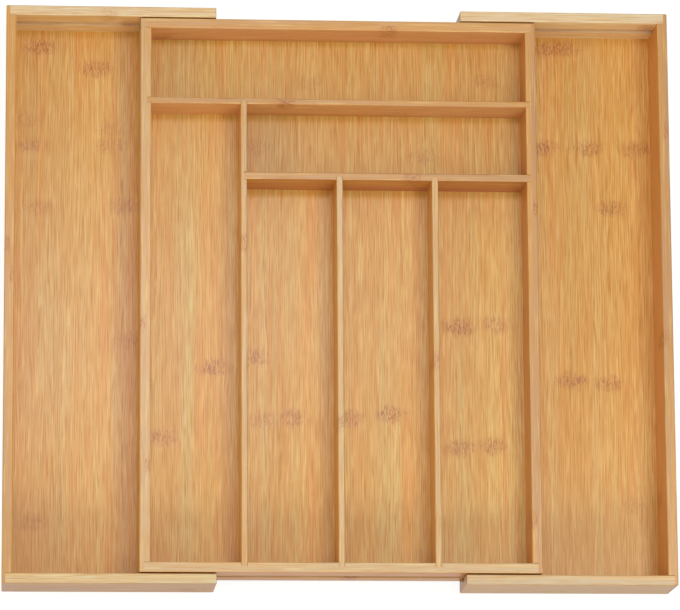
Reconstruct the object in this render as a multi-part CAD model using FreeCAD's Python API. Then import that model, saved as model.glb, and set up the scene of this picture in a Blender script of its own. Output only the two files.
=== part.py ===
import FreeCAD, Part
import os
from FreeCAD import Vector

# Bamboo cutlery tray for a drawer: a fixed centre tray with six compartments and two side
# wings that slide out of it. X runs across the drawer, Y from front to back, Z up. The origin
# is the middle of the underside, and the wings are drawn where they rest: pulled right out.
# All lengths are in millimetres.

# Clear sizes of the compartments in the centre tray
lane_width = 66.4
front_bay_length = 285.5
middle_bay_depth = 51.5
back_bay_depth = 53.0

# Boards of the centre tray
tray_rail_thick = 7.5
tray_side_thick = 7.8
divider_thick = 4.6
upper_cross_thick = 4.4
lower_cross_thick = 5.6
base_panel_thick = 4.5
base_panel_lift = 6.0        # from the walls' bottom edge to the underside of the base panel

# Boards of the wings
wall_height = 50.0           # from the drawer's floor to the rim, the same all round
wing_length = 156.0          # from the outer wall's face to the rails' free ends
wing_rail_thick = 7.5
wing_side_thick = 7.5
wing_panel_thick = 3.5

# Joints between boards
tray_corner_lap = 3.4        # what is left of the side wall outside the end of a rail
wing_corner_lap = 2.8
housing_depth = 3.0          # how far a divider is let into a rail or a side wall
cross_housing_depth = 2.4    # how far one divider is let into another
panel_let_in = 3.0           # how far a base panel is let into the walls
panel_play = 0.2             # room for a base panel to swell in its groove
arris = 0.8                  # radius of the softened edges

# Slide: one groove along each pair of rails, and glued tongues that run in the other's groove
groove_bottom = 20.5
groove_height = 10.0
groove_depth = 2.5
tray_tongue_length = 27.0
wing_tongue_length = 27.0
tongue_inset = 1.0           # from the end of the rail to its tongue
slide_gap = 1.0              # between a wing's rail and the tray's rail
running_clearance = 0.3      # above and below a tongue
tip_clearance = 0.4          # between a tongue and the bottom of the groove it runs in
stop_clearance = 0.2         # between two tongues when the wing is pulled right out
under_clearance = 0.5        # between the tray's walls and a wing's panel
closed_gap = 0.5             # between the free ends of the wings' rails when both are in

# Heights
rim = wall_height
tray_foot = wing_panel_thick + under_clearance
base_underside = tray_foot + base_panel_lift
base_top = base_underside + base_panel_thick
groove_top = groove_bottom + groove_height

# Half sizes across the tray and the wings
tray_inner_x = (4 * lane_width + 3 * divider_thick) / 2
tray_outer_x = tray_inner_x + tray_side_thick
cross_bays = lower_cross_thick + middle_bay_depth + upper_cross_thick + back_bay_depth
tray_inner_y = (front_bay_length + cross_bays) / 2
tray_outer_y = tray_inner_y + tray_rail_thick
wing_inner_y = tray_outer_y + slide_gap
wing_outer_y = wing_inner_y + wing_rail_thick

# Places of the dividers, by their faces
upper_cross_back = tray_inner_y - back_bay_depth
upper_cross_front = upper_cross_back - upper_cross_thick
lower_cross_back = upper_cross_front - middle_bay_depth
lower_cross_front = lower_cross_back - lower_cross_thick
divider_pitch = lane_width + divider_thick
long_divider_left = -tray_inner_x + lane_width
left_divider_left = long_divider_left + divider_pitch
right_divider_left = left_divider_left + divider_pitch

# The wings at rest: each pair of tongues has met, which stops the wing
tongue_overlap = tray_tongue_length + wing_tongue_length + 2 * tongue_inset + stop_clearance
rail_end_x = tray_outer_x - tongue_overlap
wing_outer_x = rail_end_x + wing_length
wing_inner_x = wing_outer_x - wing_side_thick


def block(x, y, z):
    """A box between two places along each axis, given in either order."""
    low = Vector(min(x), min(y), min(z))
    high = Vector(max(x), max(y), max(z))
    size = high - low
    return Part.makeBox(size.x, size.y, size.z, low)


def run_along_x(outline, x):
    """A bar whose section is an outline of (y, z) points, from one x to another."""
    points = [Vector(x[0], y, z) for y, z in outline]
    section = Part.Face(Part.makePolygon(points + points[:1]))
    return section.extrude(Vector(x[1] - x[0], 0, 0))


def run_along_y(outline, y):
    """A bar whose section is an outline of (x, z) points, from one y to another."""
    points = [Vector(x, y[0], z) for x, z in outline]
    section = Part.Face(Part.makePolygon(points + points[:1]))
    return section.extrude(Vector(0, y[1] - y[0], 0))


def close_to(a, b):
    return abs(a - b) < 0.001


def soften(board, thickness, chosen):
    """Rounds the edges whose middles are chosen, by no more than the board can take."""
    radius = min(arris, 0.4 * thickness)
    edges = [edge for edge in board.Edges if chosen(edge.CenterOfMass)]
    return board.makeFillet(radius, edges)


def save(name, shape):
    solid = shape.removeSplitter().Solids[0]
    solid.exportStep("parts/" + name + ".step")
    print(name, "volume", round(solid.Volume / 1000, 1), "cm3", "valid", solid.isValid())


def divider_along_x(x, y, z):
    """A cross divider, with both long top edges softened."""
    middle = sum(x) / 2
    board = block(x, y, z)
    return soften(board, abs(y[1] - y[0]), lambda c: close_to(c.z, rim) and close_to(c.x, middle))


def divider_along_y(x, y, z):
    """A lane divider, with both long top edges softened."""
    middle = sum(y) / 2
    board = block(x, y, z)
    return soften(board, abs(x[1] - x[0]), lambda c: close_to(c.z, rim) and close_to(c.y, middle))


def divider_housing(left, y):
    """The slot that takes the end of a lane divider whose left face is at that x."""
    return block((left, left + divider_thick), y, (base_top, rim + arris))


def tray_rail(side):
    """Front (-1) or back (1) rail: the slide's groove outside, the base panel's groove inside."""
    outer = side * tray_outer_y
    inner = side * tray_inner_y
    slide_back = side * (tray_outer_y - groove_depth)
    panel_back = side * (tray_inner_y + panel_let_in)
    outline = [
        (outer, tray_foot),
        (outer, groove_bottom),
        (slide_back, groove_bottom),
        (slide_back, groove_top),
        (outer, groove_top),
        (outer, rim),
        (inner, rim),
        (inner, base_top),
        (panel_back, base_top),
        (panel_back, base_underside),
        (inner, base_underside),
        (inner, tray_foot),
    ]
    end = tray_outer_x - tray_corner_lap
    bar = run_along_x(outline, (-end, end))
    return soften(bar, tray_rail_thick, lambda c: close_to(c.z, rim) and close_to(c.x, 0))


def front_rail():
    """The front rail also houses the front ends of the three lane dividers."""
    rail = tray_rail(-1)
    for left in (long_divider_left, left_divider_left, right_divider_left):
        rail = rail.cut(divider_housing(left, (-tray_inner_y, -tray_inner_y - housing_depth)))
    return rail


def tray_side(side):
    """Left (-1) or right (1) wall: rabbeted over the rails' ends, housing the cross dividers."""
    outer = side * tray_outer_x
    inner = side * tray_inner_x
    panel_back = side * (tray_inner_x + panel_let_in)
    housing_back = side * (tray_inner_x + housing_depth)
    rabbet_back = side * (tray_outer_x - tray_corner_lap)
    outline = [
        (outer, tray_foot),
        (outer, rim),
        (inner, rim),
        (inner, base_top),
        (panel_back, base_top),
        (panel_back, base_underside),
        (inner, base_underside),
        (inner, tray_foot),
    ]
    wall = run_along_y(outline, (-tray_outer_y, tray_outer_y))
    wall = soften(wall, tray_corner_lap, lambda c: close_to(c.z, rim) or close_to(c.x, outer)
                  and close_to(c.z, (rim + tray_foot) / 2))
    for end in (-1, 1):
        ends_y = (end * tray_inner_y, end * (tray_outer_y + arris))
        wall = wall.cut(block((rabbet_back, inner), ends_y, (tray_foot, rim)))
        slide_y = (end * (tray_outer_y - groove_depth), end * tray_outer_y)
        wall = wall.cut(block((rabbet_back, outer), slide_y, (groove_bottom, groove_top)))
    cross_y = [(upper_cross_front, upper_cross_back)]
    if side > 0:
        cross_y.append((lower_cross_front, lower_cross_back))
    for y in cross_y:
        wall = wall.cut(block((inner, housing_back), y, (base_top, rim)))
    return wall


def base_panel():
    """The floor of the centre tray, let into a groove in all four walls."""
    half_x = tray_inner_x + panel_let_in - panel_play
    half_y = tray_inner_y + panel_let_in - panel_play
    return block((-half_x, half_x), (-half_y, half_y), (base_underside, base_top))


def upper_cross_divider():
    """From wall to wall, in front of the back compartment. It houses the long divider."""
    half = tray_inner_x + housing_depth
    divider = divider_along_x((-half, half), (upper_cross_front, upper_cross_back),
                              (base_top, rim))
    slot_y = (upper_cross_front, upper_cross_front + cross_housing_depth)
    return divider.cut(divider_housing(long_divider_left, slot_y))


def lower_cross_divider():
    """From the long divider to the right wall. It houses the two short dividers."""
    left = long_divider_left + divider_thick - cross_housing_depth
    right = tray_inner_x + housing_depth
    divider = divider_along_x((left, right), (lower_cross_front, lower_cross_back),
                              (base_top, rim))
    slot_y = (lower_cross_front, lower_cross_front + cross_housing_depth)
    for place in (left_divider_left, right_divider_left):
        divider = divider.cut(divider_housing(place, slot_y))
    return divider


def long_divider():
    """From the front rail to the upper cross divider. It houses the lower one's left end."""
    right = long_divider_left + divider_thick
    back = upper_cross_front + cross_housing_depth
    divider = divider_along_y((long_divider_left, right), (-tray_inner_y - housing_depth, back),
                              (base_top, rim))
    slot = block((right - cross_housing_depth, right), (lower_cross_front, lower_cross_back),
                 (base_top, rim))
    return divider.cut(slot)


def short_divider(left):
    """From the front rail to the lower cross divider."""
    back = lower_cross_front + cross_housing_depth
    return divider_along_y((left, left + divider_thick), (-tray_inner_y - housing_depth, back),
                           (base_top, rim))


def tongue(x, back, face, tip):
    """A strip glued into one rail's groove, with a nose that runs in the groove facing it."""
    outline = [
        (back, groove_bottom),
        (face, groove_bottom),
        (face, groove_bottom + running_clearance),
        (tip, groove_bottom + running_clearance),
        (tip, groove_top - running_clearance),
        (face, groove_top - running_clearance),
        (face, groove_top),
        (back, groove_top),
    ]
    bar = run_along_x(outline, (min(x), max(x)))
    middle = (groove_bottom + groove_top) / 2
    return soften(bar, groove_depth, lambda c: close_to(c.y, tip) and close_to(c.z, middle))


def tray_tongue(side_x, side_y):
    """Stands out of the tray's rail, at its corner, into the wing's groove."""
    outer_end = tray_outer_x - tongue_inset
    x = (side_x * outer_end, side_x * (outer_end - tray_tongue_length))
    back = side_y * (tray_outer_y - groove_depth)
    tip = side_y * (wing_inner_y + groove_depth - tip_clearance)
    return tongue(x, back, side_y * tray_outer_y, tip)


def wing_tongue(side_x, side_y):
    """Stands out of the wing's rail, at its free end, into the tray's groove."""
    inner_end = rail_end_x + tongue_inset
    x = (side_x * inner_end, side_x * (inner_end + wing_tongue_length))
    back = side_y * (wing_inner_y + groove_depth)
    tip = side_y * (tray_outer_y - groove_depth + tip_clearance)
    return tongue(x, back, side_y * wing_inner_y, tip)


def wing_rail(side_x, side_y):
    """Runs outside the tray's rail: the slide's groove and the panel's rabbet are inside."""
    outer = side_y * wing_outer_y
    inner = side_y * wing_inner_y
    slide_back = side_y * (wing_inner_y + groove_depth)
    panel_back = side_y * (wing_inner_y + panel_let_in)
    outline = [
        (outer, 0),
        (outer, rim),
        (inner, rim),
        (inner, groove_top),
        (slide_back, groove_top),
        (slide_back, groove_bottom),
        (inner, groove_bottom),
        (inner, wing_panel_thick),
        (panel_back, wing_panel_thick),
        (panel_back, 0),
    ]
    free_end = side_x * rail_end_x
    fixed_end = side_x * (wing_outer_x - wing_corner_lap)
    middle = (free_end + fixed_end) / 2
    bar = run_along_x(outline, (free_end, fixed_end))
    return soften(bar, wing_rail_thick, lambda c: close_to(c.z, rim) and close_to(c.x, middle)
                  or close_to(c.x, free_end) and close_to(c.y, outer)
                  or close_to(c.x, free_end) and close_to(c.z, rim))


def wing_side(side_x):
    """The outer wall of a wing: rabbeted over the rails' ends and over the panel's edge."""
    outer = side_x * wing_outer_x
    inner = side_x * wing_inner_x
    panel_back = side_x * (wing_inner_x + panel_let_in)
    rabbet_back = side_x * (wing_outer_x - wing_corner_lap)
    outline = [
        (outer, 0),
        (outer, rim),
        (inner, rim),
        (inner, wing_panel_thick),
        (panel_back, wing_panel_thick),
        (panel_back, 0),
    ]
    wall = run_along_y(outline, (-wing_outer_y, wing_outer_y))
    wall = soften(wall, wing_corner_lap, lambda c: close_to(c.z, rim) or close_to(c.x, outer)
                  and close_to(c.z, rim / 2))
    for end in (-1, 1):
        ends_y = (end * wing_inner_y, end * (wing_outer_y + arris))
        wall = wall.cut(block((rabbet_back, inner), ends_y, (0, rim)))
    return wall


def wing_panel(side_x):
    """The floor of a wing. It slides under the centre tray, level with the rails' free ends."""
    outer = wing_inner_x + panel_let_in - panel_play
    half_y = wing_inner_y + panel_let_in - panel_play
    board = block((side_x * rail_end_x, side_x * outer), (-half_y, half_y), (0, wing_panel_thick))
    lead = side_x * rail_end_x
    return soften(board, wing_panel_thick, lambda c: close_to(c.x, lead)
                  and close_to(c.z, wing_panel_thick))


save("front_rail", front_rail())
save("back_rail", tray_rail(1))
save("left_side_wall", tray_side(-1))
save("right_side_wall", tray_side(1))
save("base_panel", base_panel())
save("upper_cross_divider", upper_cross_divider())
save("lower_cross_divider", lower_cross_divider())
save("long_divider", long_divider())
save("left_short_divider", short_divider(left_divider_left))
save("right_short_divider", short_divider(right_divider_left))

for hand, side_x in (("left", -1), ("right", 1)):
    save(hand + "_wing_outer_wall", wing_side(side_x))
    save(hand + "_wing_base_panel", wing_panel(side_x))
    for end, side_y in (("front", -1), ("back", 1)):
        save(hand + "_wing_" + end + "_rail", wing_rail(side_x, side_y))
        save(hand + "_wing_" + end + "_tongue", wing_tongue(side_x, side_y))
        save(hand + "_tray_" + end + "_tongue", tray_tongue(side_x, side_y))

travel = min(rail_end_x - closed_gap / 2, wing_inner_x - tray_outer_x - closed_gap)
print("each wing slides in by", round(travel, 2), "mm")
print("over all", round(2 * wing_outer_x, 1), "by", round(2 * wing_outer_y, 1), "by", rim)
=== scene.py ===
# Bamboo cutlery tray for a drawer, with a wing pulled out at each side. It lies on a white
# table and is seen from above.
import bpy
import math
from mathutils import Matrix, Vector


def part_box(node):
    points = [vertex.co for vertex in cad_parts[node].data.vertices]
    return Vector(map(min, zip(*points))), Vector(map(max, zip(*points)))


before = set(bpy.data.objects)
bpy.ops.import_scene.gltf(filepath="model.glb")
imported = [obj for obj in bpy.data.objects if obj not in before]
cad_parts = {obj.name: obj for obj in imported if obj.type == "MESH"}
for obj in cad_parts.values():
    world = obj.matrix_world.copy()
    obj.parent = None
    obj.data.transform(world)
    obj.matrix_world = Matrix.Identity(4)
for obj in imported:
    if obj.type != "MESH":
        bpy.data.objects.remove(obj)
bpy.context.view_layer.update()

mm = 0.001
print("frame loaded:", len(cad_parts), "boards and strips")


def linearColour(hexColour):
    # sRGB hex to the linear values that a shader takes
    channels = [int(hexColour[place:place + 2], 16) / 255 for place in (1, 3, 5)]
    return [c / 12.92 if c <= 0.04045 else ((c + 0.055) / 1.055) ** 2.4 for c in channels] + [1.0]


def addNode(tree, kind, settings, inputs):
    # an input takes a plain value, another node's first output, or a socket
    node = tree.nodes.new("ShaderNode" + kind)
    for name, value in settings.items():
        setattr(node, name, value)
    for place, value in inputs.items():
        if isinstance(value, bpy.types.Node):
            value = value.outputs[0]
        if isinstance(value, bpy.types.NodeSocket):
            tree.links.new(value, node.inputs[place])
        else:
            node.inputs[place].default_value = value
    return node


# Caramelised bamboo, cut into flat strips, glued side by side into boards, sanded and given a
# thin satin lacquer. The eye sees strips of slightly different tone, each with nearly straight
# bundles of fibre along it, a ragged brown node now and then, dots on the sawn ends and a soft
# sheen. All sizes are in mm. Real fibres, glue lines and the dots' spacing are a few tenths of a
# mm or less, too fine to show, so they are drawn as coarse as they need to be to show.
# A range is the two noise values between which a mark goes from none to full.
bamboo = {
    "honey": "#DDAE4C",
    "rose": "#D79C58",
    "straw": "#F0CC84",
    "toffee": "#D49748",
    "fibreOchre": "#BA8021",
    "bundleOchre": "#B17112",
    "streakOrange": "#B87624",
    "nodeRed": "#B8692C",
    "nodeBrown": "#8E4A1A",
    "seamBrown": "#9C6632",
    "heat": "#F3E8DA",          # laid over a board's palest tone, it gives its darkest strip
    "farPale": "#E2B67C",       # palest strip of the rear or right-hand ply of an upright board
    "farTan": "#D3A066",        # darkest strip there
    "endTan": "#B9875C",
    "endDot": "#74482A",
    "honeyShare": 0.42,         # how far the yellowest strip goes towards honey
    "roseShare": 0.26,          # how far the pinkest strip goes towards rose
    "stripShift": (900.0, 1700.0, 900.0),   # the furthest that chance moves a strip's figure
    "smoothDetail": 1.0,        # noise detail of the bands, fibres, streaks and bundles
    "raggedDetail": 2.0,        # noise detail of the waves and the nodes
    "bandWidth": 7.0,           # soft light and dark bands within a strip
    "bandLength": 200.0,
    "bandRange": (0.35, 0.68),
    "bandDepth": 0.90,
    "fibreWidth": 0.60,
    "fibreLength": 22.0,
    "fibreRange": (0.36, 0.64),
    "fibreDepth": 0.62,
    "bundleSpacing": 1.7,       # from one bundle of fibres to the next
    "bundleRange": (-0.3, 1.0),     # of a sine wave, so a bundle fills part of its spacing
    "bundleDepth": 0.76,
    "bundleLeast": 0.15,        # share of a bundle that is left where it fades
    "crowdWidth": 5.1,          # patches in which bundles crowd or spread
    "crowdLength": 120.0,
    "crowdReach": 6.8,          # how far a bundle moves for that
    "fadeWidth": 2.72,          # patches in which a bundle comes or goes
    "fadeLength": 15.0,
    "fadeRange": (0.35, 0.65),
    "streakWidth": 1.3,
    "streakLength": 40.0,
    "streakRange": (0.56, 0.72),    # the few darker streaks
    "streakDepth": 0.30,
    "strawRange": (0.43, 0.30),     # the few palest streaks
    "strawDepth": 0.25,
    "waveWidth": 16.67,         # patches in which fibres wander the same way
    "waveLength": 40.0,
    "waveReach": (1.2, 2.4),    # how far a fibre wanders sideways, clear of a node and in one
    "nodeSpacing": 380.0,       # along a strip from node to node, on a board with none marked
    "nodeStrength": 0.6,        # how strongly such a node shows
    "nodeHeight": 9.0,          # along the grain
    "nodeWidth": 16.0,          # across it
    "nodeEdge": (1.5, 0.8),     # where a node starts and is full, in node heights from its middle
    "nodeTint": 0.22,
    "nodeDepth": 0.85,
    "ragWidth": 2.22,           # tatters along a node's edge
    "ragLength": 8.33,
    "dashWidth": 0.7407,        # short crooked dashes in a node
    "dashLength": 3.571,
    "dashCrook": 0.9,
    "dashRange": (0.48, 0.56),
    "seamWidth": 0.3,
    "seamDepth": 0.16,
    "topTurn": (0.5, 0.8),      # how squarely a face looks up where a top edge's tone sets in
    "sawnTurn": (0.6, 0.85),    # how squarely it looks along the grain where an end's does
    "dotSpacing": 1.1,          # on a sawn end
    "dotReach": (0.22, 0.38),   # a dot's core and rim, in shares of the spacing
    "dotDepth": 0.8,
    "roughness": (0.42, 0.55),
    "roughRange": (0.3, 0.7),
    "sandedOff": 0.5,           # what sanding takes off each outer strip
    "ior": 1.5,
    "gloss": 0.22,              # what sanding leaves of the wood's own gloss
    "grooveHeight": 0.006,      # relief that sanding leaves on the fibres
    "lacquer": 0.22,
    "lacquerRoughness": 0.24,
    "lacquerIor": 1.65,
}

# How each kind of board is cut: the axis its grain runs along, the axis its strips lie side by
# side on, the axis its plies are stacked on, the strips' width and thickness in mm, and how
# strongly its fibres show
cuts = {
    "floor": {"grain": "Y", "strips": "X", "plies": "Z", "strip": 19.0, "ply": 6.5, "figure": 1.0},
    "rail": {"grain": "X", "strips": "Z", "plies": "Y", "strip": 25.5, "ply": 4.25, "figure": 0.5},
    "wall": {"grain": "Y", "strips": "Z", "plies": "X", "strip": 25.5, "ply": 4.4, "figure": 0.55},
    "crossDivider": {"grain": "X", "strips": "Z", "plies": "Y", "strip": 18.3, "ply": 6.5,
                     "figure": 0.55},
    "laneDivider": {"grain": "Y", "strips": "Z", "plies": "X", "strip": 18.3, "ply": 6.5,
                    "figure": 0.5},
    "tongue": {"grain": "X", "strips": "Z", "plies": "Y", "strip": 11.0, "ply": 6.5,
               "figure": 0.6},
}

# Tones of the palest strip of a board. On an upright board this tone shows on its front or left
# ply; a few are set paler than the wood to paint light on that face, and a few darker to paint
# shade on it
stripTonesWithPaintedLightAndShade = {
    # paler than the wood: painted light on the wing back rails' inner faces
    "paleStrawPaintedLight": "#F6E2B8",
    "straw": "#D2B878",
    "ripeStraw": "#D2B274",
    "warmStraw": "#D8B06E",
    "paleHoney": "#E6BA80",
    "honey": "#DEAA6A",
    "warmHoney": "#D8A268",
    "rose": "#E4A884",
    # these two are darker than the wood: painted shade on the right walls' inner faces
    "amberPaintedShade": "#DC9058",
    "toastedAmberPaintedShade": "#CA8050",
    # these three are darker than the wood: painted shade on the front rails' outer faces
    "fawnPaintedShade": "#BE9268",
    "nutPaintedShade": "#AE784C",
    "chestnutPaintedShade": "#C47030",
    # far darker than the wood: painted shade on the lower cross divider's front face
    "russetPaintedShade": "#A65444",
}

# Tones of the top edges, which are sanded through the skin to paler or greyer wood
edgeTones = {
    "cream": "#E8C090",
    "bleached": "#D2C8B6",
    "silver": "#B8BCA8",
    "ash": "#A8A69C",
    "driftwood": "#B8A892",
    "sand": "#B89C80",
    "biscuit": "#BC9270",
    "tanned": "#A67E66",
    "toasted": "#96705A",
}

# Each piece: its cut, a number that picks its strips (another number gives other strips), the
# tone of its palest strip, which on some upright boards holds painted light and on others painted
# shade, and, on an upright board, the tone of its top edge
boards = {
    "base_panel": ("floor", 11, "straw", None),
    "left_wing_base_panel": ("floor", 5, "ripeStraw", None),
    "right_wing_base_panel": ("floor", 8, "warmStraw", None),
    # the front rails take tones darker than the wood: painted shade on their outer front faces
    "front_rail": ("rail", 21, "chestnutPaintedShade", "driftwood"),
    "back_rail": ("rail", 22, "rose", "biscuit"),
    "left_wing_front_rail": ("rail", 23, "nutPaintedShade", "silver"),
    # the wing back rails take a tone paler than the wood: painted light on their inner faces
    "left_wing_back_rail": ("rail", 24, "paleStrawPaintedLight", "bleached"),
    "right_wing_front_rail": ("rail", 25, "fawnPaintedShade", "ash"),
    "right_wing_back_rail": ("rail", 26, "paleStrawPaintedLight", "bleached"),
    "left_side_wall": ("wall", 31, "honey", "sand"),
    # the right walls take tones darker than the left walls': painted shade on their inner faces
    "right_side_wall": ("wall", 32, "toastedAmberPaintedShade", "tanned"),
    "left_wing_outer_wall": ("wall", 33, "honey", "toasted"),
    "right_wing_outer_wall": ("wall", 34, "amberPaintedShade", "tanned"),
    "upper_cross_divider": ("crossDivider", 41, "rose", "tanned"),
    # the lower cross divider takes a dark reddish tone: painted shade on its front face
    "lower_cross_divider": ("crossDivider", 42, "russetPaintedShade", "tanned"),
    "long_divider": ("laneDivider", 51, "warmHoney", "sand"),
    "left_short_divider": ("laneDivider", 52, "warmHoney", "driftwood"),
    "right_short_divider": ("laneDivider", 53, "warmHoney", "sand"),
}
tongueSeed = 60
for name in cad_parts:
    if name.endswith("_tongue"):
        boards[name] = ("tongue", tongueSeed + len(boards), "paleHoney", "cream")

# Where a board shows a node: its place across the strips and along the grain, in mm from the
# tray's middle and the table, and how strongly it shows
nodeMarks = {
    "left_wing_base_panel": [(-222, 196, 0.8), (-180, 180, 0.9), (-232, 140, 0.3),
                             (-229, 120, 0.5), (-168, 134, 0.3), (-168, 120, 0.5),
                             (-222, 72, 0.4), (-158, 74, 0.5),
                             (-154, -28, 0.4), (-226, -165, 0.5)],
    "base_panel": [(-92, -50, 0.9), (-132, -103, 0.7), (-62, -42, 0.7), (-54, -90, 0.5),
                   (-34, -88, 0.7), (10, -88, 0.7), (40, -84, 0.9), (91, -18, 1.0),
                   (119, -16, 0.6), (92, -110, 0.7), (115, -108, 0.7), (-60, 118, 0.4),
                   (66, 112, 0.4), (-20, 168, 0.3), (112, 170, 0.4)],
    "right_wing_base_panel": [(157, 122, 0.8), (192, 122, 0.7), (229, 122, 0.6),
                              (208, 76, 0.7), (178, -56, 0.9), (204, -58, 0.7),
                              (158, 199, 0.9), (175, 200, 0.9), (222, -150, 0.3)],
    "left_wing_back_rail": [(43, -171, 0.3), (30, -157, 0.6)],
    "right_wing_back_rail": [(35, 233, 0.7)],
    "upper_cross_divider": [(47, -40, 0.9)],
}


def lacqueredBamboo(name, cut, seed, tone, edgeTone, corner, marks):
    material = bpy.data.materials.new(name)
    material.use_nodes = True
    tree = material.node_tree
    tree.nodes.clear()

    # place on the board in mm: across the strips, along the grain, down through the plies
    coords = addNode(tree, "TexCoord", {}, {})
    inMm = addNode(tree, "VectorMath", {"operation": "SCALE"},
                   {0: coords.outputs["Object"], "Scale": 1 / mm})
    fromCorner = addNode(tree, "VectorMath", {"operation": "SUBTRACT"}, {0: inMm, 1: corner})
    axes = addNode(tree, "SeparateXYZ", {}, {0: fromCorner})
    along = axes.outputs[cut["grain"]]
    across = axes.outputs[cut["strips"]]
    down = axes.outputs[cut["plies"]]
    onBoard = addNode(tree, "CombineXYZ", {}, {0: across, 1: along, 2: down})

    # which strip this is, and what chance gives that strip
    stripCount = addNode(tree, "Math", {"operation": "DIVIDE"}, {0: across, 1: cut["strip"]})
    plyCount = addNode(tree, "Math", {"operation": "DIVIDE"}, {0: down, 1: cut["ply"]})
    stripNumber = addNode(tree, "Math", {"operation": "FLOOR"}, {0: stripCount})
    plyNumber = addNode(tree, "Math", {"operation": "FLOOR"}, {0: plyCount})
    stripCell = addNode(tree, "CombineXYZ", {}, {0: stripNumber, 1: plyNumber, 2: float(seed)})
    chance = addNode(tree, "TexWhiteNoise", {"noise_dimensions": "3D"}, {"Vector": stripCell})
    chances = addNode(tree, "SeparateColor", {}, {0: chance.outputs["Color"]})
    onStrip = addNode(tree, "VectorMath", {"operation": "MULTIPLY_ADD"},
                      {0: chance.outputs["Color"], 1: bamboo["stripShift"], 2: onBoard})

    # nodes: ragged patches at the chosen places, or by chance along each strip
    ragged = (1 / bamboo["ragWidth"], 1 / bamboo["ragLength"], 1 / bamboo["ragWidth"])
    ragScale = addNode(tree, "VectorMath", {"operation": "MULTIPLY"}, {0: onBoard, 1: ragged})
    rag = addNode(tree, "TexNoise", {},
                  {"Vector": ragScale, "Scale": 1.0, "Detail": bamboo["raggedDetail"]})
    stripAxes = addNode(tree, "SeparateXYZ", {}, {0: onStrip})
    distances = [(addNode(tree, "Math", {"operation": "PINGPONG"},
                          {0: stripAxes.outputs[1], 1: bamboo["nodeSpacing"] / 2}),
                  bamboo["nodeStrength"])]
    if marks:
        distances = []
    squeeze = (bamboo["nodeHeight"] / bamboo["nodeWidth"], 1.0, 0.0)
    for acrossMark, alongMark, strength in marks:
        fromMark = addNode(tree, "VectorMath", {"operation": "SUBTRACT"},
                           {0: onBoard, 1: (acrossMark, alongMark, 0.0)})
        flattened = addNode(tree, "VectorMath", {"operation": "MULTIPLY"},
                            {0: fromMark, 1: squeeze})
        distance = addNode(tree, "VectorMath", {"operation": "LENGTH"}, {0: flattened})
        distances.append((distance.outputs["Value"], strength))
    nearNode = 0.0
    starts, full = [share * bamboo["nodeHeight"] for share in bamboo["nodeEdge"]]
    for distance, strength in distances:
        tattered = addNode(tree, "Math", {"operation": "MULTIPLY_ADD"},
                           {0: rag, 1: bamboo["nodeHeight"], 2: distance})
        close = addNode(tree, "MapRange", {"interpolation_type": "SMOOTHSTEP"},
                        {0: tattered, 1: starts, 2: full, 3: 0.0, 4: strength})
        nearNode = addNode(tree, "Math", {"operation": "MAXIMUM"}, {0: nearNode, 1: close})

    # fibres wander a little, and more beside a node
    wavy = (1 / bamboo["waveWidth"], 1 / bamboo["waveLength"], 1 / bamboo["waveWidth"])
    waveScale = addNode(tree, "VectorMath", {"operation": "MULTIPLY"}, {0: onStrip, 1: wavy})
    wave = addNode(tree, "TexNoise", {},
                   {"Vector": waveScale, "Scale": 1.0, "Detail": bamboo["raggedDetail"]})
    noiseMiddle = (0.5, 0.5, 0.5)
    waveCentred = addNode(tree, "VectorMath", {"operation": "SUBTRACT"},
                          {0: wave.outputs["Color"], 1: noiseMiddle})
    calm, stirred = bamboo["waveReach"]
    waveReach = addNode(tree, "MapRange", {}, {0: nearNode, 3: calm, 4: stirred})
    wander = addNode(tree, "VectorMath", {"operation": "SCALE"},
                     {0: waveCentred, "Scale": waveReach})
    bent = addNode(tree, "VectorMath", {"operation": "ADD"}, {0: onStrip, 1: wander})

    # noise drawn out along the grain, for the bands, the fibres, the streaks and the bundles
    figures = {}
    for figure, place in (("band", onStrip), ("fibre", bent), ("streak", bent),
                          ("crowd", bent), ("fade", bent)):
        width, length = bamboo[figure + "Width"], bamboo[figure + "Length"]
        scaled = addNode(tree, "VectorMath", {"operation": "MULTIPLY"},
                         {0: place, 1: (1 / width, 1 / length, 1 / width)})
        figures[figure] = addNode(tree, "TexNoise", {}, {"Vector": scaled, "Scale": 1.0,
                                                         "Detail": bamboo["smoothDetail"]})
    none, most = bamboo["bandRange"]
    darkBand = addNode(tree, "MapRange", {}, {0: figures["band"], 1: none, 2: most,
                                              3: 0.0, 4: bamboo["bandDepth"] * cut["figure"]})
    none, most = bamboo["fibreRange"]
    darkFibre = addNode(tree, "MapRange", {}, {0: figures["fibre"], 1: none, 2: most,
                                               3: 0.0, 4: bamboo["fibreDepth"] * cut["figure"]})
    none, most = bamboo["streakRange"]
    streak = addNode(tree, "MapRange", {"interpolation_type": "SMOOTHSTEP"},
                     {0: figures["streak"], 1: none, 2: most, 3: 0.0, 4: bamboo["streakDepth"]})
    none, most = bamboo["strawRange"]
    paleStreak = addNode(tree, "MapRange", {"interpolation_type": "SMOOTHSTEP"},
                         {0: figures["streak"], 1: none, 2: most, 3: 0.0, 4: bamboo["strawDepth"]})

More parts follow.
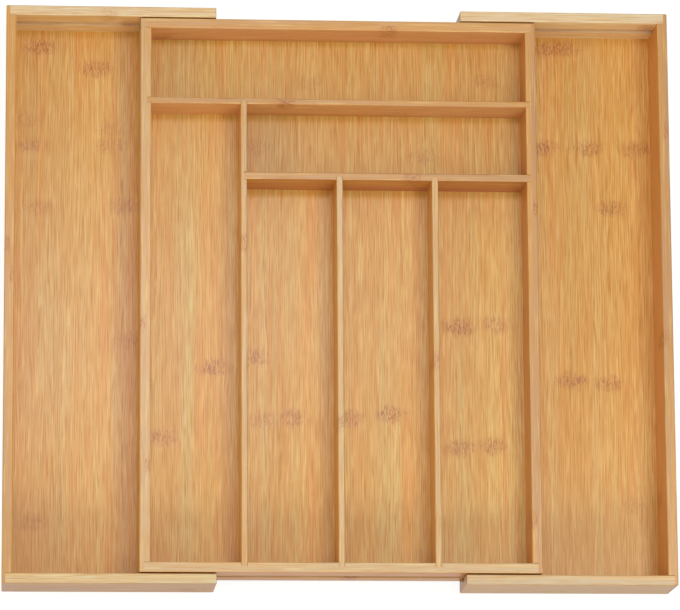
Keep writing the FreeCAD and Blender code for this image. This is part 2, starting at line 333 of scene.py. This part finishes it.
    # bundles: thin dark lines side by side, unevenly spaced, that come and go
    bentAxes = addNode(tree, "SeparateXYZ", {}, {0: bent})
    sideways = addNode(tree, "Math", {"operation": "ADD"},
                       {0: bentAxes.outputs[0], 1: bentAxes.outputs[2]})
    unevenly = addNode(tree, "Math", {"operation": "MULTIPLY_ADD"},
                       {0: figures["crowd"], 1: bamboo["crowdReach"], 2: sideways})
    turns = addNode(tree, "Math", {"operation": "MULTIPLY"},
                    {0: unevenly, 1: 2 * math.pi / bamboo["bundleSpacing"]})
    ripple = addNode(tree, "Math", {"operation": "SINE"}, {0: turns})
    none, most = bamboo["bundleRange"]
    bundle = addNode(tree, "MapRange", {"interpolation_type": "SMOOTHSTEP"},
                     {0: ripple, 1: none, 2: most, 3: 0.0, 4: 1.0})
    bundleDepth = bamboo["bundleDepth"] * cut["figure"]
    none, most = bamboo["fadeRange"]
    fading = addNode(tree, "MapRange", {}, {0: figures["fade"], 1: none, 2: most,
                                            3: bamboo["bundleLeast"] * bundleDepth,
                                            4: bundleDepth})
    darkBundle = addNode(tree, "Math", {"operation": "MULTIPLY"}, {0: bundle, 1: fading})

    # short crooked dashes within a node
    dashed = (1 / bamboo["dashWidth"], 1 / bamboo["dashLength"], 1 / bamboo["dashWidth"])
    dashScale = addNode(tree, "VectorMath", {"operation": "MULTIPLY"}, {0: bent, 1: dashed})
    dash = addNode(tree, "TexNoise", {}, {"Vector": dashScale, "Scale": 1.0,
                                          "Detail": bamboo["raggedDetail"],
                                          "Distortion": bamboo["dashCrook"]})
    none, most = bamboo["dashRange"]
    dashLine = addNode(tree, "MapRange", {"interpolation_type": "SMOOTHSTEP"},
                       {0: dash, 1: none, 2: most, 3: 0.0, 4: bamboo["nodeDepth"]})
    nodeDash = addNode(tree, "Math", {"operation": "MULTIPLY"}, {0: dashLine, 1: nearNode})
    nodeTint = addNode(tree, "Math", {"operation": "MULTIPLY"},
                       {0: nearNode, 1: bamboo["nodeTint"]})

    # glue lines between strips and between plies
    fromSeam = addNode(tree, "Math", {"operation": "PINGPONG"}, {0: across, 1: cut["strip"] / 2})
    fromPly = addNode(tree, "Math", {"operation": "PINGPONG"}, {0: down, 1: cut["ply"] / 2})
    fromGlue = addNode(tree, "Math", {"operation": "MINIMUM"}, {0: fromSeam, 1: fromPly})
    seam = addNode(tree, "MapRange", {}, {0: fromGlue, 1: 0.0, 2: bamboo["seamWidth"],
                                          3: bamboo["seamDepth"], 4: 0.0})

    # colour of the long grain, from the strip's own tone to the marks on it
    honeyFactor = addNode(tree, "Math", {"operation": "MULTIPLY"},
                          {0: chances.outputs[1], 1: bamboo["honeyShare"] * cut["figure"]})
    roseFactor = addNode(tree, "Math", {"operation": "MULTIPLY"},
                         {0: chances.outputs[2], 1: bamboo["roseShare"] * cut["figure"]})
    # the palest tone holds painted light on the wing back rails and painted shade on the front
    # rails, the right walls and the lower cross divider
    palest = linearColour(stripTonesWithPaintedLightAndShade[tone])
    darkest = [part * left for part, left in zip(palest, linearColour(bamboo["heat"]))]
    colour = addNode(tree, "MixRGB", {}, {0: chance, 1: palest, 2: darkest})
    if edgeTone:
        # the other plies take plain tones, so a board's painted light and shade stay on its front
        # or left ply
        far = addNode(tree, "MixRGB", {}, {0: chance, 1: linearColour(bamboo["farPale"]),
                                           2: linearColour(bamboo["farTan"])})
        inFarPly = addNode(tree, "MapRange", {}, {0: plyNumber, 1: 0.0, 2: 1.0, 3: 0.0, 4: 1.0})
        colour = addNode(tree, "MixRGB", {}, {0: inFarPly, 1: colour, 2: far})
        # an upright board's top edge is sanded through its skin
        upward = addNode(tree, "SeparateXYZ", {}, {0: coords.outputs["Normal"]})
        level = addNode(tree, "Math", {"operation": "ABSOLUTE"}, {0: upward.outputs[2]})
        none, most = bamboo["topTurn"]
        onEdge = addNode(tree, "MapRange", {}, {0: level, 1: none, 2: most, 3: 0.0, 4: 1.0})
        sanded = linearColour(edgeTones[edgeTone])
        colour = addNode(tree, "MixRGB", {}, {0: onEdge, 1: colour, 2: sanded})
    for factor, mark in ((honeyFactor, "honey"), (roseFactor, "rose"), (darkBand, "toffee"),
                         (darkFibre, "fibreOchre"), (darkBundle, "bundleOchre"),
                         (streak, "streakOrange"), (paleStreak, "straw"), (nodeTint, "nodeRed"),
                         (nodeDash, "nodeBrown"), (seam, "seamBrown")):
        colour = addNode(tree, "MixRGB", {}, {0: factor, 1: colour, 2: linearColour(bamboo[mark])})

    # sawn ends show the bundles as dots
    grainAxis = {"X": (1.0, 0.0, 0.0), "Y": (0.0, 1.0, 0.0)}[cut["grain"]]
    facing = addNode(tree, "VectorMath", {"operation": "DOT_PRODUCT"},
                     {0: coords.outputs["Normal"], 1: grainAxis})
    turned = addNode(tree, "Math", {"operation": "ABSOLUTE"}, {0: facing.outputs["Value"]})
    none, most = bamboo["sawnTurn"]
    sawn = addNode(tree, "MapRange", {}, {0: turned, 1: none, 2: most, 3: 0.0, 4: 1.0})
    dotScale = addNode(tree, "VectorMath", {"operation": "MULTIPLY"},
                       {0: onBoard, 1: (1 / bamboo["dotSpacing"], 0.0, 1 / bamboo["dotSpacing"])})
    dotDistance = addNode(tree, "TexVoronoi", {}, {"Vector": dotScale, "Scale": 1.0})
    core, rim = bamboo["dotReach"]
    dot = addNode(tree, "MapRange", {}, {0: dotDistance, 1: core, 2: rim,
                                         3: bamboo["dotDepth"], 4: 0.0})
    endColour = addNode(tree, "MixRGB", {}, {0: dot, 1: linearColour(bamboo["endTan"]),
                                             2: linearColour(bamboo["endDot"])})
    colour = addNode(tree, "MixRGB", {}, {0: sawn, 1: colour, 2: endColour})

    smooth, rough = bamboo["roughness"]
    none, most = bamboo["roughRange"]
    roughness = addNode(tree, "MapRange", {}, {0: figures["fibre"], 1: none, 2: most,
                                               3: smooth, 4: rough})
    relief = addNode(tree, "Math", {"operation": "ADD"}, {0: darkFibre, 1: darkBundle})
    bump = addNode(tree, "Bump", {"invert": True},
                   {"Height": relief, "Distance": bamboo["grooveHeight"] * mm, "Strength": 1.0})
    shader = addNode(tree, "BsdfPrincipled", {}, {
        "Base Color": colour, "Roughness": roughness, "IOR": bamboo["ior"],
        "Specular IOR Level": bamboo["gloss"], "Normal": bump,
        "Coat Weight": bamboo["lacquer"], "Coat Roughness": bamboo["lacquerRoughness"],
        "Coat IOR": bamboo["lacquerIor"]})
    addNode(tree, "OutputMaterial", {}, {"Surface": shader})
    return material


for name, (kind, seed, tone, edgeTone) in boards.items():
    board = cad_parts[name]
    corner = [low / mm - bamboo["sandedOff"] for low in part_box(name)[0]]
    cut = cuts[kind]
    across, along = ["XYZ".index(cut[way]) for way in ("strips", "grain")]
    marks = [(acrossMark - corner[across], alongMark - corner[along], strength)
             for acrossMark, alongMark, strength in nodeMarks.get(name, [])]
    finish = lacqueredBamboo(name + "_bamboo", cut, seed, tone, edgeTone, corner, marks)
    for place in board.material_slots:
        place.material = finish
print("bamboo laid on", len(boards), "pieces")


# White table: a matt white laminate that shows as plain white, with the tray's soft shadow kept
table = {
    "size": 6.0,                # m along each side
    "drop": 0.1,                # mm below the tray, so that no two faces lie in one plane
    "colour": "#838280",
    "ownLight": 0.86,           # glow that brings it up to white where it is seen
    "shadowShare": 0.90,        # share of its lit look, and so of the shadow, that is kept there
}


def whiteLaminate():
    material = bpy.data.materials.new("white_laminate")
    material.use_nodes = True
    tree = material.node_tree
    tree.nodes.clear()
    surface = addNode(tree, "BsdfDiffuse", {}, {"Color": linearColour(table["colour"])})
    glow = addNode(tree, "Emission", {}, {"Color": (1.0, 1.0, 1.0, 1.0),
                                          "Strength": table["ownLight"]})
    faint = addNode(tree, "MixShader", {}, {0: table["shadowShare"], 2: surface})
    seen = addNode(tree, "AddShader", {}, {0: faint, 1: glow})
    path = addNode(tree, "LightPath", {}, {})
    direct = addNode(tree, "Math", {"operation": "MAXIMUM"},
                     {0: path.outputs["Is Camera Ray"], 1: path.outputs["Is Glossy Ray"]})
    shown = addNode(tree, "Math", {"operation": "MAXIMUM"},
                    {0: direct, 1: path.outputs["Is Transmission Ray"]})
    mixed = addNode(tree, "MixShader", {}, {0: shown, 1: surface, 2: seen})
    addNode(tree, "OutputMaterial", {}, {"Surface": mixed})
    return material


tableMesh = bpy.data.meshes.new("table_top")
half = table["size"] / 2
tableMesh.from_pydata([(-half, -half, 0), (half, -half, 0), (half, half, 0), (-half, half, 0)],
                      [], [(0, 1, 2, 3)])
tableTop = bpy.data.objects.new("table_top", tableMesh)
tableTop.location.z = -table["drop"] * mm
tableMesh.materials.append(whiteLaminate())
bpy.context.scene.collection.objects.link(tableTop)

# Studio: a room with an even fill, a softbox overhead, one to the right of it, and two lower
# lamps that reach the upright faces, a white one in front and a warm one at the left. Places
# and sizes are in m.
studio = {"room": 0.585, "roomTint": "#F8FFEA", "lampTarget": (0.0, 0.0, 0.0)}
lamps = {
    "overhead_softbox": {"place": (-0.08, 0.4, 2.4), "size": (0.8, 0.3), "watts": 11.8,
                         "tint": "#F3F3FF"},
    "right_softbox": {"place": (0.65, -0.1, 2.3), "size": (0.5, 0.5), "watts": 12.6,
                      "tint": "#FFFEE9"},
    "front_lamp": {"place": (0.2, -1.9, 1.3), "size": (1.0, 0.6), "watts": 15.0,
                   "tint": "#FFFFFF"},
    "left_lamp": {"place": (-1.75, -0.45, 1.4), "size": (1.0, 1.0), "watts": 9.3,
                  "tint": "#FFEDD4"},
}


def makeWorld():
    world = bpy.data.worlds.new("white_room")
    bpy.context.scene.world = world
    world.use_nodes = True
    tree = world.node_tree
    tree.nodes.clear()
    path = addNode(tree, "LightPath", {}, {})
    direct = addNode(tree, "Math", {"operation": "MAXIMUM"},
                     {0: path.outputs["Is Camera Ray"], 1: path.outputs["Is Glossy Ray"]})
    shown = addNode(tree, "Math", {"operation": "MAXIMUM"},
                    {0: direct, 1: path.outputs["Is Transmission Ray"]})
    strength = addNode(tree, "MapRange", {}, {0: shown, 3: studio["room"], 4: 1.0})
    tint = addNode(tree, "MixRGB", {}, {0: shown, 1: linearColour(studio["roomTint"]),
                                        2: (1.0, 1.0, 1.0, 1.0)})
    room = addNode(tree, "Background", {}, {"Color": tint, "Strength": strength})
    addNode(tree, "OutputWorld", {}, {"Surface": room})


def aim(thing, target):
    thing.rotation_euler = (Vector(target) - thing.location).to_track_quat("-Z", "Y").to_euler()


makeWorld()
for name, lamp in lamps.items():
    light = bpy.data.lights.new(name, "AREA")
    light.shape = "RECTANGLE"
    light.size, light.size_y = lamp["size"]
    light.energy = lamp["watts"]
    light.color = linearColour(lamp["tint"])[:3]
    stand = bpy.data.objects.new(name, light)
    stand.location = lamp["place"]
    bpy.context.scene.collection.objects.link(stand)
    aim(stand, studio["lampTarget"])
print("table and lamps set")

# Camera: high above the tray and a little to the front left, with a long lens. The place is in
# m, the turn in degrees, and lens and sensor are in mm.
view = {"place": (-0.2441, -0.6148, 3.1565), "turn": (11.03, -4.42, -0.35), "lens": 228.0,
        "sensor": 36.0}
cameraData = bpy.data.cameras.new("camera")
cameraData.lens = view["lens"]
cameraData.sensor_width = view["sensor"]
camera = bpy.data.objects.new("camera", cameraData)
camera.location = view["place"]
camera.rotation_euler = [math.radians(angle) for angle in view["turn"]]
bpy.context.scene.collection.objects.link(camera)
bpy.context.scene.camera = camera
bpy.context.scene.view_settings.view_transform = "Standard"
print("camera placed")
